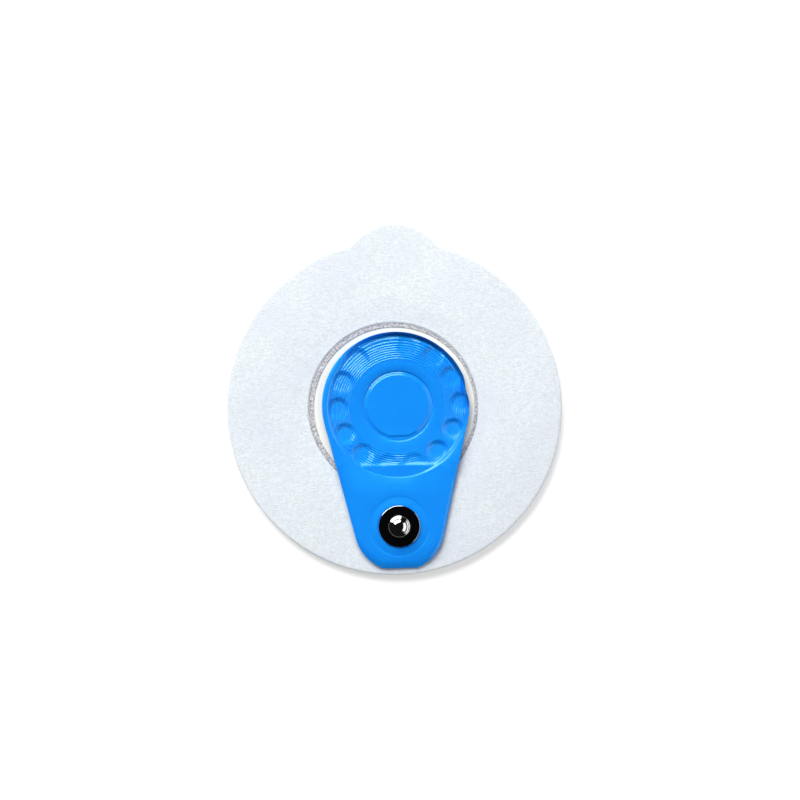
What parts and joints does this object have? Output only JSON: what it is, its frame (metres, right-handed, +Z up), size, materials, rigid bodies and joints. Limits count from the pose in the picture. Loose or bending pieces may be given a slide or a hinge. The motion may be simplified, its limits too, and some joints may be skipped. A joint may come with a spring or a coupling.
{
  "type": "ecg electrode",
  "caption": "Round adhesive electrode patch with a lift tab, a gel well under a dished blue carrier plate, and an offset snap stud on the plate's tongue.",
  "frame": {"origin": "middle of the gel sponge's skin face, on the plane that the electrode lies on; it is also the centre of the patch's round edge", "axes": "+Z up, away from the skin; +Y towards the lift tab; the tongue with the snap points to -Y"},
  "size_m": [0.068, 0.0715, 0.0056],
  "materials": {
    "non_woven_fabric": "white non-woven fabric of fine matted fibres",
    "white_foam": "smooth white closed-cell foam",
    "gel_soaked_sponge": "open-cell sponge, wet with clear gel",
    "blue_plastic": "glossy bright blue moulded sheet",
    "silver_strip": "thin bright metal strip",
    "silver_chloride": "dull grey silver chloride coat",
    "black_plastic": "polished black",
    "bright_nickel": "bright nickel plate",
    "silvered_brass": "silver plated"
  },
  "bodies": {
    "root": {"fabric_patch": "non_woven_fabric", "foam_ring": "white_foam", "gel_sponge": "gel_soaked_sponge", "cover_plate": "blue_plastic", "conductor_strip": "silver_strip", "sensor_disc": "silver_chloride", "snap_base": "black_plastic", "snap_stud": "bright_nickel", "snap_eyelet": "silvered_brass"}
  },
  "joints": []
}
